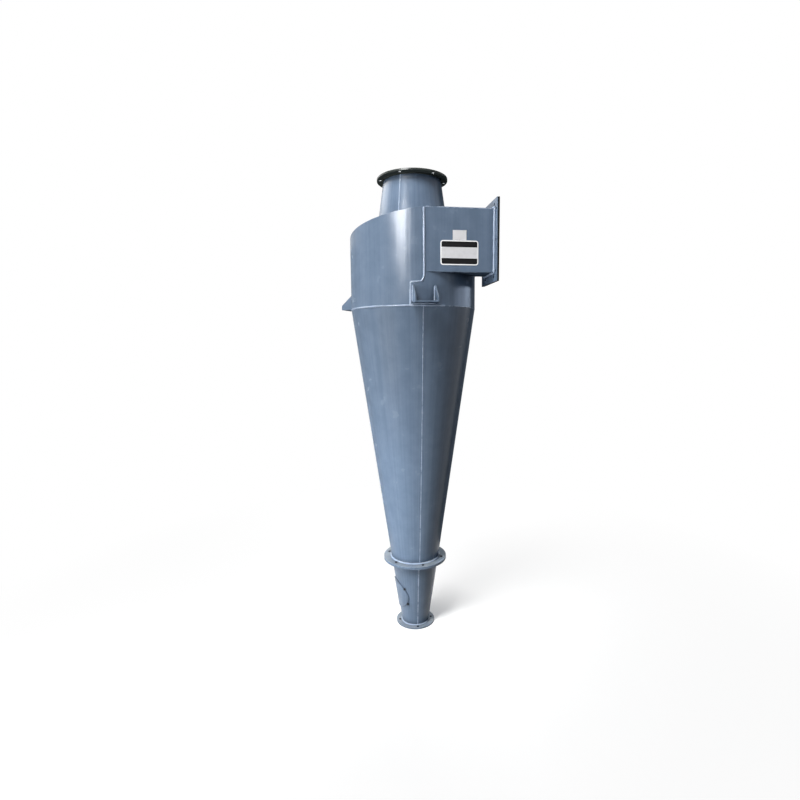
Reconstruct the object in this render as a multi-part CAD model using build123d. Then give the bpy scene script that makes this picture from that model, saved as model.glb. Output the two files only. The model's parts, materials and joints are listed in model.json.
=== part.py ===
"""Sheet-steel cyclone separator with a spiral roof, a side inlet and a flanged dust outlet.

The Z axis is the axis of the cyclone, and Z is 0 in the plane that the three support lugs rest on.
The inlet duct points along +X, and its outer side plate faces -Y.
Azimuths are in degrees from -Y, positive toward +X. All lengths are in millimetres.
"""
import os
from math import acos, cos, degrees, radians, sin

from build123d import *

# Sheet and plates
SHEET = 3.0
WELD_GAP = 0.3
CUT_PAST = 50.0

# Barrel
BODY_R = 300.0
LUG_ABOVE_GIRTH = 9.0

# Inlet duct, outside faces
INLET_W = 135.0
INLET_H = 270.0
INLET_ABOVE_GIRTH = 143.0
INLET_REACH = 315.0
INLET_FLANGE_LEG = 40.0
INLET_FLANGE_NEAR = 32.0
INLET_FLANGE_FAR = 55.0
INLET_FLANGE_T = 4.0
INLET_GASKET_T = 8.0
INLET_HOLE_R = 6.0
INLET_HOLE_OUT = 18.0
INLET_HOLE_RISE = 130.0
INLET_HOLE_ACROSS = 60.0

# Outlet: a straight tube in the barrel, then a neck that tapers up to a flange
TUBE_BELOW_INLET = 98.0
NECK_RISE = 191.0
NECK_TAPER = 27.5
OUTLET_FLANGE_RIM = 30.5
OUTLET_FLANGE_T = 8.0
OUTLET_HUB_H = 7.0
OUTLET_HUB_T = 3.0
OUTLET_BOLT_OUT = 15.5
OUTLET_HOLES = 6
OUTLET_HOLE_R = 6.0
OUTLET_HOLE_AZ = 30.0

# Low end of the spiral roof
ROOF_END_TIP = 60.0

# Main cone and its flange joint
CONE_H = 1247.0
CONE_END_R = 120.5
JOINT_STEP = 2.0
JOINT_FLANGE_RIM = 39.5
JOINT_FLANGE_T = 6.0
JOINT_BOLT_OUT = 17.0
JOINT_HOLES = 6
JOINT_HOLE_R = 6.0
JOINT_HOLE_AZ = 8.0

# Discharge cone and dust flange
DISCHARGE_H = 338.0
DISCHARGE_END_R = 68.5
DUST_FLANGE_RIM = 29.5
DUST_FLANGE_T = 6.0
DUST_BOLT_OUT = 12.5
DUST_HOLES = 4
DUST_HOLE_R = 6.0

# Hand hole in the discharge cone
HAND_HOLE_AZ = -81.5
HAND_HOLE_DOWN = 177.0
HAND_HOLE_R = 56.0
HAND_COVER_LAP = 19.0
HAND_GASKET_T = 2.5
HAND_COVER_T = 2.0

# Support lugs
LUG_AZIMUTHS = {"front": 1.0, "left": -119.0, "right": 121.0}
LUG_W = 103.0
LUG_REACH = 66.0
LUG_BASE_T = 6.0
LUG_HEIGHT = 76.0
LUG_NOSE = 15.0
LUG_TOP_REACH = 3.0
GUSSET_T = 6.0
LUG_HOLE_R = 7.0
LUG_HOLE_OUT = 40.0

# Sizes and heights that follow from those above
BODY_IN = BODY_R - SHEET
GIRTH_Z = -LUG_ABOVE_GIRTH
INLET_BOTTOM_Z = GIRTH_Z + INLET_ABOVE_GIRTH
INLET_TOP_Z = INLET_BOTTOM_Z + INLET_H
OUTLET_R = BODY_R - INLET_W
TUBE_BOTTOM_Z = INLET_BOTTOM_Z - TUBE_BELOW_INLET
NECK_R = OUTLET_R - NECK_TAPER
NECK_TOP_Z = INLET_TOP_Z + NECK_RISE
HUB_END_R = NECK_R + NECK_TAPER * OUTLET_HUB_H / NECK_RISE
ROOF_END_AZ = degrees(acos(OUTLET_R / BODY_IN))
ROOF_TURN = 360.0 - ROOF_END_AZ
ROOF_DROP = INLET_H - SHEET
CONE_END_Z = GIRTH_Z - CONE_H
JOINT_Z = CONE_END_Z - JOINT_FLANGE_T
DISCHARGE_TOP_R = CONE_END_R - JOINT_STEP
DISCHARGE_TOP_Z = JOINT_Z - JOINT_FLANGE_T
DISCHARGE_END_Z = DISCHARGE_TOP_Z - DISCHARGE_H
HAND_HOLE_Z = DISCHARGE_TOP_Z - HAND_HOLE_DOWN
HAND_COVER_R = HAND_HOLE_R + HAND_COVER_LAP


def turned(points):
    """A solid of revolution about Z from (radius, height) points."""
    outline = Polyline(*[(r, 0, z) for r, z in points], close=True)
    return revolve(make_face(outline), axis=Axis.Z)


def cone_shell(top_r, top_z, end_r, end_z, inside, outside=0.0):
    """A conical shell whose faces lie inside and outside the given outer radii."""
    return turned(
        [
            (top_r + outside, top_z),
            (end_r + outside, end_z),
            (end_r - inside, end_z),
            (top_r - inside, top_z),
        ]
    )


def slab(x0, x1, y0, y1, z0, z1):
    """A box between two corners."""
    middle = Pos((x0 + x1) / 2, (y0 + y1) / 2, (z0 + z1) / 2)
    return middle * Box(x1 - x0, y1 - y0, z1 - z0)


def turn(shape, azimuth):
    """A shape made at azimuth 0, moved to another azimuth."""
    return Rot(0, 0, azimuth) * shape


def flange(outer_r, hole_r, z0, thick, bolts_at, count, bolt_r, first_az):
    """A flat ring with a circle of bolt holes at radius bolts_at, its underside at z0."""
    ring = turned([(hole_r, z0), (outer_r, z0), (outer_r, z0 + thick), (hole_r, z0 + thick)])
    for i in range(count):
        drill = Pos(0, -bolts_at, z0 + thick / 2) * Cylinder(bolt_r, thick + CUT_PAST)
        ring -= turn(drill, first_az + i * 360 / count)
    return ring


def spiral(r0, r1, above0, above1):
    """A strip from radius r0 to r1 that follows the roof's descent, between two heights above it."""
    pitch = ROOF_DROP * 360 / ROOF_TURN
    path = Helix(pitch, ROOF_DROP, (r0 + r1) / 2)
    corners = [(r0, 0, above0), (r1, 0, above0), (r1, 0, above1), (r0, 0, above1)]
    section = make_face(Polyline(*corners, close=True))
    strip = sweep(section, path=path, is_frenet=True)
    low_end = Rot(0, 0, ROOF_END_AZ - 90) * strip
    return Pos(0, 0, INLET_BOTTOM_Z + SHEET) * low_end


def make_barrel():
    """The rolled wall: its top edge follows the roof, and it stops under the inlet duct."""
    wall = turned(
        [
            (BODY_IN, GIRTH_Z),
            (BODY_R, GIRTH_Z),
            (BODY_R, INLET_TOP_Z),
            (BODY_IN, INLET_TOP_Z),
        ]
    )
    wall -= spiral(BODY_IN - CUT_PAST, BODY_R + CUT_PAST, 0, ROOF_DROP + CUT_PAST)
    wall -= slab(
        0,
        BODY_R + CUT_PAST,
        -BODY_R - CUT_PAST,
        -OUTLET_R,
        INLET_BOTTOM_Z,
        INLET_TOP_Z + CUT_PAST,
    )
    return wall


def make_roof_end():
    """The flat piece between the low end of the roof, the outlet tube and the inlet's inner side."""
    across = sin(radians(ROOF_END_AZ))
    along = -cos(radians(ROOF_END_AZ))
    outer = BODY_IN - WELD_GAP
    inner = OUTLET_R - SHEET
    outline = Polyline(
        (ROOF_END_TIP, -OUTLET_R),
        (outer * across - WELD_GAP, -OUTLET_R),
        (outer * across, outer * along),
        (inner * across, inner * along),
        (ROOF_END_TIP, inner * along),
        close=True,
    )
    plate = extrude(make_face(outline), SHEET)
    plate -= Cylinder(OUTLET_R + WELD_GAP, SHEET + CUT_PAST)
    return Pos(0, 0, INLET_BOTTOM_Z) * plate


def frame(x0, x1):
    """The inlet's rectangular flange frame between two positions along the duct."""
    outside = slab(
        x0,
        x1,
        -BODY_R - INLET_FLANGE_NEAR,
        -OUTLET_R + INLET_FLANGE_FAR,
        INLET_BOTTOM_Z - INLET_FLANGE_LEG,
        INLET_TOP_Z + INLET_FLANGE_LEG,
    )
    opening = slab(
        x0 - CUT_PAST,
        x1 + CUT_PAST,
        -BODY_R + SHEET,
        -OUTLET_R - SHEET,
        INLET_BOTTOM_Z + SHEET,
        INLET_TOP_Z - SHEET,
    )
    plate = outside - opening
    for y, z in inlet_holes():
        drill = Rot(0, 90, 0) * Cylinder(INLET_HOLE_R, x1 - x0 + CUT_PAST)
        plate -= Pos((x0 + x1) / 2, y, z) * drill
    return plate


def inlet_holes():
    """Centres of the inlet flange's bolt holes: three up each side, two across each end."""
    y = -(BODY_R + OUTLET_R) / 2
    z = INLET_BOTTOM_Z + INLET_H / 2
    across = INLET_W / 2 + INLET_HOLE_OUT
    rise = INLET_H / 2 + INLET_HOLE_OUT
    sides = [(y + s * across, z + i * INLET_HOLE_RISE) for s in (-1, 1) for i in (-1, 0, 1)]
    ends = [(y + i * INLET_HOLE_ACROSS, z + s * rise) for s in (-1, 1) for i in (-1, 1)]
    return sides + ends


def discharge_layer(inside, outside):
    """A conical layer at given depths from the discharge cone's outer face."""
    return cone_shell(
        DISCHARGE_TOP_R, DISCHARGE_TOP_Z, DISCHARGE_END_R, DISCHARGE_END_Z, inside, outside
    )


def hand_hole_bar(radius):
    """A round bar that points outward from the axis through the hand hole."""
    bar = Rot(90, 0, 0) * Cylinder(radius, 2 * DISCHARGE_TOP_R)
    return turn(Pos(0, -DISCHARGE_TOP_R, HAND_HOLE_Z) * bar, HAND_HOLE_AZ)


def make_lug_base():
    """A lug's base plate at azimuth 0, with its bolt hole."""
    out = BODY_R + LUG_REACH
    plate = slab(-LUG_W / 2, LUG_W / 2, -out, -BODY_R + CUT_PAST, 0, LUG_BASE_T)
    plate -= Cylinder(BODY_R + WELD_GAP, LUG_BASE_T + CUT_PAST)
    plate -= Pos(0, -BODY_R - LUG_HOLE_OUT, 0) * Cylinder(LUG_HOLE_R, LUG_BASE_T + CUT_PAST)
    return plate


def make_gussets():
    """A lug's two upright triangular gussets at azimuth 0."""
    out = BODY_R + LUG_REACH
    inner = BODY_R - CUT_PAST
    outline = Polyline(
        (0, -inner, LUG_BASE_T),
        (0, -out, LUG_BASE_T),
        (0, -out, LUG_BASE_T + LUG_NOSE),
        (0, -BODY_R - LUG_TOP_REACH, LUG_HEIGHT),
        (0, -inner, LUG_HEIGHT),
        close=True,
    )
    side = extrude(make_face(outline), GUSSET_T, dir=(1, 0, 0))
    pair = Pos(-LUG_W / 2, 0, 0) * side + Pos(LUG_W / 2 - GUSSET_T, 0, 0) * side
    return pair - Cylinder(BODY_R + WELD_GAP, 2 * LUG_HEIGHT + CUT_PAST)


def build():
    """Every node by name."""
    duct_y0 = -BODY_R
    duct_y1 = -OUTLET_R
    nodes = {}
    ring = flange(
        NECK_R + OUTLET_FLANGE_RIM,
        NECK_R - SHEET,
        NECK_TOP_Z,
        OUTLET_FLANGE_T,
        NECK_R + OUTLET_BOLT_OUT,
        OUTLET_HOLES,
        OUTLET_HOLE_R,
        OUTLET_HOLE_AZ,
    )
    hub_t = WELD_GAP + OUTLET_HUB_T
    hub = cone_shell(
        NECK_R, NECK_TOP_Z, HUB_END_R, NECK_TOP_Z - OUTLET_HUB_H, -WELD_GAP, hub_t
    )
    nodes["outlet_flange"] = ring + hub
    nodes["outlet_cone"] = cone_shell(NECK_R, NECK_TOP_Z, OUTLET_R, INLET_TOP_Z, SHEET)
    nodes["vortex_tube"] = cone_shell(OUTLET_R, INLET_TOP_Z, OUTLET_R, TUBE_BOTTOM_Z, SHEET)
    nodes["spiral_roof"] = spiral(OUTLET_R + WELD_GAP, BODY_IN - WELD_GAP, -SHEET, 0)
    nodes["roof_end_plate"] = make_roof_end()
    nodes["barrel_wall"] = make_barrel()
    nodes["inlet_outer_side"] = slab(
        0, INLET_REACH, duct_y0, duct_y0 + SHEET, INLET_BOTTOM_Z, INLET_TOP_Z
    )
    nodes["inlet_inner_side"] = slab(
        0, INLET_REACH, duct_y1 - SHEET, duct_y1, INLET_BOTTOM_Z, INLET_TOP_Z
    )
    nodes["inlet_top"] = slab(
        0, INLET_REACH, duct_y0 + SHEET, duct_y1 - SHEET, INLET_TOP_Z - SHEET, INLET_TOP_Z
    )
    nodes["inlet_floor"] = slab(
        0, INLET_REACH, duct_y0 + SHEET, duct_y1 - SHEET, INLET_BOTTOM_Z, INLET_BOTTOM_Z + SHEET
    )
    nodes["inlet_flange"] = frame(INLET_REACH, INLET_REACH + INLET_FLANGE_T)
    nodes["inlet_gasket"] = frame(
        INLET_REACH + INLET_FLANGE_T, INLET_REACH + INLET_FLANGE_T + INLET_GASKET_T
    )
    nodes["main_cone"] = cone_shell(BODY_R, GIRTH_Z, CONE_END_R, CONE_END_Z, SHEET)
    joint_r = CONE_END_R + JOINT_FLANGE_RIM
    bolts = (CONE_END_R + JOINT_BOLT_OUT, JOINT_HOLES, JOINT_HOLE_R, JOINT_HOLE_AZ)
    nodes["cone_flange"] = flange(joint_r, CONE_END_R - SHEET, JOINT_Z, JOINT_FLANGE_T, *bolts)
    nodes["discharge_top_flange"] = flange(
        joint_r, DISCHARGE_TOP_R - SHEET, DISCHARGE_TOP_Z, JOINT_FLANGE_T, *bolts
    )
    nodes["discharge_cone"] = discharge_layer(SHEET, 0) - hand_hole_bar(HAND_HOLE_R)
    nodes["dust_flange"] = flange(
        DISCHARGE_END_R + DUST_FLANGE_RIM,
        DISCHARGE_END_R - SHEET,
        DISCHARGE_END_Z - DUST_FLANGE_T,
        DUST_FLANGE_T,
        DISCHARGE_END_R + DUST_BOLT_OUT,
        DUST_HOLES,
        DUST_HOLE_R,
        0,
    )
    lining = discharge_layer(-WELD_GAP, HAND_GASKET_T) & hand_hole_bar(HAND_COVER_R)
    nodes["hand_hole_gasket"] = lining - hand_hole_bar(HAND_HOLE_R)
    cover_in = HAND_GASKET_T + WELD_GAP
    cover = discharge_layer(-cover_in, cover_in + HAND_COVER_T) & hand_hole_bar(HAND_COVER_R)
    nodes["hand_hole_cover"] = cover
    for name, azimuth in LUG_AZIMUTHS.items():
        nodes[f"{name}_lug_base"] = turn(make_lug_base(), azimuth)
        nodes[f"{name}_lug_gussets"] = turn(make_gussets(), azimuth)
    return nodes


os.makedirs("parts", exist_ok=True)
for node, shape in build().items():
    export_step(shape, f"parts/{node}.step")
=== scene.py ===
"""Dressing for a cyclone separator: paint, weld beads, fasteners and bare plates on its CAD frame.

The row frame is kept: metres, Z up on the cyclone's axis, the inlet along +X with its outer plate
facing -Y. Azimuths are in degrees from -Y, positive toward +X.
"""
import json
from math import atan2, cos, hypot, pi, radians, sin, sqrt

import bmesh
import bpy
from mathutils import Matrix, Vector


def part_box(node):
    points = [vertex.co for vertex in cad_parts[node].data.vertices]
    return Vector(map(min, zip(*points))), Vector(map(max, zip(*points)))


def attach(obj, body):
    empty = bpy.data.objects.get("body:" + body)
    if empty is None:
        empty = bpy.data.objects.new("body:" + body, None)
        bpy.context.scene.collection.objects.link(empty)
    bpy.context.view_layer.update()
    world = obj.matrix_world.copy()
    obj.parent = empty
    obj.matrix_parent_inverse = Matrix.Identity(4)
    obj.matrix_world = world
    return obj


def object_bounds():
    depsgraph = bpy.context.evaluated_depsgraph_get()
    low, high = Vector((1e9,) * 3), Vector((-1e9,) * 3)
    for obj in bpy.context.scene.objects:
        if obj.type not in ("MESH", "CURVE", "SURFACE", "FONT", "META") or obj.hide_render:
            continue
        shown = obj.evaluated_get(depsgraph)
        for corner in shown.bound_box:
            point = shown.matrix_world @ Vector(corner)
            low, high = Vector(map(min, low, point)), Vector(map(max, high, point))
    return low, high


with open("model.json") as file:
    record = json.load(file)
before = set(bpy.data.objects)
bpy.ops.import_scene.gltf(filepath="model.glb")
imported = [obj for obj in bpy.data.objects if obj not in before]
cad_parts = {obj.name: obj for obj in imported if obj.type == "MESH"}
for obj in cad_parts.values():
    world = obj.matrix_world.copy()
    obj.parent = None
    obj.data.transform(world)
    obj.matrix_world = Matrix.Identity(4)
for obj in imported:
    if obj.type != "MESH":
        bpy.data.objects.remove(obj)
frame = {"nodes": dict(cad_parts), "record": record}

bl_info = {
    "name": "Cyclone separator dressing",
    "version": (1, 0, 0),
    "blender": (4, 5, 0),
    "location": "View3D > Sidebar > Cyclone",
    "description": "Paints the cyclone's sheet steel and adds welds, fasteners, plates and a studio",
    "category": "Object",
}

CAD_BOX = [list(corner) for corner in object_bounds()]
BODY = "root"


def outer_radius(node, z):
    """The largest radius of a CAD node's points at a height."""
    points = frame["nodes"][node].data.vertices
    return max(hypot(p.co.x, p.co.y) for p in points if abs(p.co.z - z) < 0.0005)


# Sizes read from the CAD nodes
CONE_LOW, CONE_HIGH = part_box("main_cone")
BODY_R = CONE_HIGH.x
GIRTH_Z = CONE_HIGH.z
CONE_END_Z = CONE_LOW.z
CONE_END_R = outer_radius("main_cone", CONE_END_Z)
DUCT_LOW, DUCT_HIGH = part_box("inlet_outer_side")
DUCT_BACK_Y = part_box("inlet_inner_side")[1].y
SHEET = DUCT_HIGH.y - DUCT_LOW.y
OUTLET_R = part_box("vortex_tube")[1].x
NECK_TOP_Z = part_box("outlet_cone")[1].z
NECK_R = outer_radius("outlet_cone", NECK_TOP_Z)
ROOF_END_LOW, ROOF_END_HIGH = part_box("roof_end_plate")
ROOF_LOW_Z = ROOF_END_HIGH.z
JOINT_LOW_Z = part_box("discharge_top_flange")[0].z
JOINT_HIGH_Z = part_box("cone_flange")[1].z
DISCHARGE_LOW, DISCHARGE_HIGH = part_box("discharge_cone")
DISCHARGE_TOP_R = outer_radius("discharge_cone", DISCHARGE_HIGH.z)
DISCHARGE_END_R = outer_radius("discharge_cone", DISCHARGE_LOW.z)
LUG_LOW, LUG_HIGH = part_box("front_lug_base")
GUSSET_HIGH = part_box("front_lug_gussets")[1]
COVER_LOW, COVER_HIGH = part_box("hand_hole_cover")
DUST_RIM_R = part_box("dust_flange")[1].x - 0.002
FLOOR_Z = CAD_BOX[0][2]

# Places that the boxes can't give
LUG_AZIMUTHS = (1.0, -119.0, 121.0)
LUG_W = 0.103
LUG_OUT_R = 0.366
GUSSET_T = 0.006
ROOF_LOW_AZ = 56.25
JOINT_BOLT_R = 0.1375
JOINT_BOLT_AZ = 8.0
JOINT_BOLTS = 6
HAND_HOLE_AZ = -81.5
HAND_SCREW_ANGLES = (31, 149, 211, 329)
CONE_SEAM_AZ = (0.2, 2.6)
DISCHARGE_SEAM_AZ = 1.0
NECK_SEAM_AZ = -31.0
ARC_STEP = 3.0

# Circles of drilled holes as radius, first azimuth and count, and how far bare metal reaches
OUTLET_HOLES = (0.153, 30.0, 6)
DUST_HOLES = (0.081, 0.0, 4)
HOLE_REACH = 0.0065

# The stepped seam at the front: its place beside the inlet, its height over the girth, its path
# along the step as azimuths and small rises, and the azimuth where it meets the girth
STEP_SEAM_X = 0.0053
STEP_RISE = 0.099
STEP_PATH = ((-0.4, 0.008), (-1.2, 0.003), (-6.2, 0.001), (-10.4, 0.0))
STEP_END_AZ = -10.6

# How far the girth bead is ground down at the right, and let in at the back
GIRTH_GROUND = 0.0014
GIRTH_FLUSH = 0.0032

# The plate's bare rim and round corners, and the lift of the label's loose corner
PLATE_RIM = 0.0045
PLATE_BEND = 0.011
LABEL_CURL = 0.0022

# The enamel's bands from the rolls, the rounding that finds edges, and the depth of orange peel
ROLL_SCALE = 12.0
ROLL_LIFT = 0.055
ROLL_DEPTH = 0.0011
EDGE_ROUNDING = 0.0012
PEEL_DEPTH = 0.00012

# Camera as fitted to the photograph: degrees, and metres from the axis and under the girth
LENS = 21.96
SENSOR = 36.0
SHIFT_X = -0.01725
CAMERA_AZ = -8.4
CAMERA_PITCH = 6.32
CAMERA_ROLL = 0.45
CAMERA_R = 2.431
CAMERA_DROP = 0.174

# Lamps as setting, name, size, place by radius, azimuth and height, and the height they aim at.
# The soft ones don't show in reflections, and the cards show only there
SOFT_LAMPS = (
    ("top", "top_light", (1.4, 1.4), (1.9, -38.0, 3.0), 0.3),
    ("side", "side_light", (1.6, 2.0), (2.6, -58.0, -0.9), -0.8),
    ("foot", "foot_light", (1.0, 0.6), (1.9, -52.0, 0.4), -1.4),
    ("fill", "right_fill", (1.2, 1.2), (3.0, 48.0, 0.1), -0.35),
    ("back", "back_light", (2.0, 2.4), (3.2, 166.0, 0.5), -0.35),
)
CARD_LAMPS = (
    ("window", "window", (1.6, 0.9), (3.2, -30.8, 1.45), 0.3),
    ("card", "high_card", (2.6, 1.2), (3.0, -126.0, 2.2), 0.3),
    ("right_card", "right_card", (2.6, 0.5), (3.2, 92.0, 0.36), 0.3),
)
WINDOW_LEAN = -31.0
FOOT_SPREAD = 40.0

# Curved cards that only reflections show, as name, first azimuth, top and colour
EDGE_CARDS = (
    ("right_edge_card", 100, 1.2, "#5E666E"),
    ("left_edge_card", -165, 0.42, "#AEB9C6"),
)
EDGE_CARD_R = 0.9


def linear(hex_colour):
    """An sRGB hex colour as linear red, green and blue."""
    shares = [int(hex_colour[i : i + 2], 16) / 255 for i in (1, 3, 5)]
    return tuple(s / 12.92 if s <= 0.04045 else ((s + 0.055) / 1.055) ** 2.4 for s in shares)


def rgba(colour):
    """A colour as four values for a socket."""
    return (*colour, 1.0)


# Tones of the finishes and lamps that aren't settings
RUBBED = linear("#A9B7C8")
# The beads' enamel is paler than the sheet's: a paler coat, and partly a painted highlight for the
# light their round backs catch
BEAD_TONE_AND_HIGHLIGHT = linear("#9FB1CC")
DUST = linear("#989584")
# Tones of the painted shade on undersides and in corners
UNDERSIDE_SHADE_TONE = linear("#1B2027")
CORNER_SHADE_TONE = linear("#232A33")
BRIGHT_BORE = linear("#C8CACC")
# Painted shade inside the dust flange's holes
HOLE_SHADE_TONE = linear("#0F1216")
COOL_LIGHT = linear("#C8DFFF")


# Settings that a user may change


class CYCLONE_PG_welds(bpy.types.PropertyGroup):
    """Sizes of the weld beads."""

    seam: bpy.props.FloatProperty(
        name="Seam bead radius",
        description="Radius of the round bead along a butt seam",
        default=0.0045,
        unit="LENGTH",
    )
    sink: bpy.props.FloatProperty(
        name="Seam sink",
        description="How far a seam bead's centre lies under the sheet's face",
        default=0.0024,
        unit="LENGTH",
    )
    fillet: bpy.props.FloatProperty(
        name="Fillet radius",
        description="Radius of the bead in an inside corner",
        default=0.0050,
        unit="LENGTH",
    )
    ripple: bpy.props.FloatProperty(
        name="Ripple spacing",
        description="Length of one ripple of the bead, drawn coarse so that it shows",
        default=0.008,
        unit="LENGTH",
    )
    ripple_height: bpy.props.FloatProperty(
        name="Ripple height",
        description="Share of the bead's radius that a ripple takes away",
        default=0.16,
        subtype="FACTOR",
    )
    lump: bpy.props.FloatProperty(
        name="Unevenness",
        description="Share by which the bead swells and thins along its run",
        default=0.24,
        subtype="FACTOR",
    )
    waver: bpy.props.FloatProperty(
        name="Waver",
        description="How far the bead strays from its line",
        default=0.0005,
        unit="LENGTH",
    )
    seed: bpy.props.IntProperty(
        name="Seed",
        description="Fixed seed of the bead's unevenness",
        default=7,
    )


class CYCLONE_PG_fasteners(bpy.types.PropertyGroup):
    """Sizes of the bolts and screws."""

    bolt_flats: bpy.props.FloatProperty(
        name="Bolt across flats",
        description="Width of a joint bolt's hexagon",
        default=0.011,
        unit="LENGTH",
    )
    screw_flats: bpy.props.FloatProperty(
        name="Screw across flats",
        description="Width of a hand-hole screw's hexagon",
        default=0.008,
        unit="LENGTH",
    )
    screw_circle: bpy.props.FloatProperty(
        name="Screw circle radius",
        description="Radius of the circle of clamp screws just outside the hand-hole cover",
        default=0.0795,
        unit="LENGTH",
    )
    seed: bpy.props.IntProperty(
        name="Seed",
        description="Fixed seed of how far each hexagon is turned",
        default=3,
    )


class CYCLONE_PG_plates(bpy.types.PropertyGroup):
    """Sizes of the bare plate and label on the inlet's outer side."""

    centre: bpy.props.FloatVectorProperty(
        name="Plate centre",
        description="Plate's centre along the duct and its height",
        size=2,
        default=(0.1595, 0.2140),
        unit="LENGTH",
    )
    size: bpy.props.FloatVectorProperty(
        name="Plate size",
        description="Plate's width and height",
        size=2,
        default=(0.167, 0.104),
        unit="LENGTH",
    )
    thickness: bpy.props.FloatProperty(
        name="Plate thickness",
        description="Thickness of the plate's sheet",
        default=0.001,
        unit="LENGTH",
    )
    band: bpy.props.FloatProperty(
        name="Band height",
        description="Height of the plain dark band at the plate's top and bottom",
        default=0.024,
        unit="LENGTH",
    )
    label_centre: bpy.props.FloatVectorProperty(
        name="Label centre",
        description="Label's centre along the duct and its height",
        size=2,
        default=(0.1598, 0.2880),
        unit="LENGTH",
    )
    label_size: bpy.props.FloatVectorProperty(
        name="Label size",
        description="Label's width and height",
        size=2,
        default=(0.060, 0.041),
        unit="LENGTH",
    )


class CYCLONE_PG_finishes(bpy.types.PropertyGroup):
    """Colours of the finishes."""

    enamel: bpy.props.FloatVectorProperty(
        name="Enamel",
        description="Grey-blue enamel on the sheet steel",
        size=3,
        subtype="COLOR",
        default=linear("#687B92"),
    )
    enamel_pale: bpy.props.FloatVectorProperty(
        name="Pale enamel",
        description="Where the enamel lies thinner or is rubbed",
        size=3,
        subtype="COLOR",
        default=linear("#7C8FA7"),
    )
    black: bpy.props.FloatVectorProperty(
        name="Flange black",
        description="Satin black paint on the outlet flange",
        size=3,
        subtype="COLOR",
        default=linear("#3B403F"),
    )
    rubber: bpy.props.FloatVectorProperty(
        name="Rubber",
        description="Sheet rubber of the gaskets",
        size=3,
        subtype="COLOR",
        default=linear("#0E0F10"),
    )
    oxide: bpy.props.FloatVectorProperty(
        name="Black oxide",
        description="Blackened steel of bolts and screws",
        size=3,
        subtype="COLOR",
        default=linear("#33383F"),
    )


class CYCLONE_PG_stage(bpy.types.PropertyGroup):
    """Levels of the studio's lights."""

    top: bpy.props.FloatProperty(
        name="Top light",
        description="Power of the soft light high on the left, in watts",
        default=126.0,
    )
    side: bpy.props.FloatProperty(
        name="Side light",
        description="Power of the large soft light low on the left, in watts",
        default=59.0,
    )
    foot: bpy.props.FloatProperty(
        name="Foot light",
        description="Power of the narrow light on the lower section, in watts",
        default=3.5,
    )
    fill: bpy.props.FloatProperty(
        name="Right fill",
        description="Power of the weak soft light on the right, in watts",
        default=4.2,
    )
    window: bpy.props.FloatProperty(
        name="Window",
        description="Power of the bright card that only shows as the barrel's highlight, in watts",
        default=232.0,
    )
    card: bpy.props.FloatProperty(
        name="High card",
        description="Power of the card that only shows as the neck's highlight, in watts",
        default=42.0,
    )
    right_card: bpy.props.FloatProperty(
        name="Right card",
        description="Power of the weak card that only shows in the barrel's right side, in watts",
        default=17.5,
    )
    back: bpy.props.FloatProperty(
        name="Back light",
        description="Power of the soft light behind the object, in watts",
        default=125.0,
    )
    ambient: bpy.props.FloatProperty(
        name="Ambient",
        description="Strength of the even light from all round",
        default=0.03,
    )


# Nodes and materials


def add_node(tree, kind, inputs=(), **settings):
    """A new node with its settings, and a value or a link for each named or numbered input."""
    made = tree.nodes.new(kind)
    for name, value in settings.items():
        setattr(made, name, value)
    for socket, value in dict(inputs).items():
        if isinstance(value, bpy.types.NodeSocket):
            tree.links.new(value, made.inputs[socket])
        else:
            made.inputs[socket].default_value = value
    return made


def new_material(name):
    """An empty node material, and its tree."""
    made = bpy.data.materials.new(name)
    made.use_nodes = True
    made.node_tree.nodes.clear()
    return made, made.node_tree


def per_metre(millimetres):
    """A noise scale that gives features of about this size."""
    return 1000.0 / millimetres


def hole_mask(tree, split, level, circle, azimuth, count):
    """1 near the centres of a circle of bolt holes, else 0."""
    first = radians(azimuth)
    half = pi / count
    ahead = add_node(tree, "ShaderNodeMath", {0: split[1], 1: -1.0}, operation="MULTIPLY")
    compass = {0: split[0], 1: ahead.outputs[0]}
    angle = add_node(tree, "ShaderNodeMath", compass, operation="ARCTAN2")
    sector = {0: angle.outputs[0], 1: first + half, 2: first - half}
    folded = add_node(tree, "ShaderNodeMath", sector, operation="WRAP")
    aside = add_node(tree, "ShaderNodeMath", {0: folded.outputs[0], 1: first}, operation="SUBTRACT")
    radius = add_node(tree, "ShaderNodeVectorMath", {0: level}, operation="LENGTH").outputs["Value"]
    across = add_node(tree, "ShaderNodeMath", {0: aside.outputs[0], 1: radius}, operation="MULTIPLY")
    out = add_node(tree, "ShaderNodeMath", {0: radius, 1: circle}, operation="SUBTRACT")
    offset = add_node(tree, "ShaderNodeCombineXYZ", {0: across.outputs[0], 1: out.outputs[0]})
    away = add_node(tree, "ShaderNodeVectorMath", {0: offset.outputs[0]}, operation="LENGTH")
    reach = {0: away.outputs["Value"], 1: HOLE_REACH}
    return add_node(tree, "ShaderNodeMath", reach, operation="LESS_THAN").outputs[0]


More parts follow.
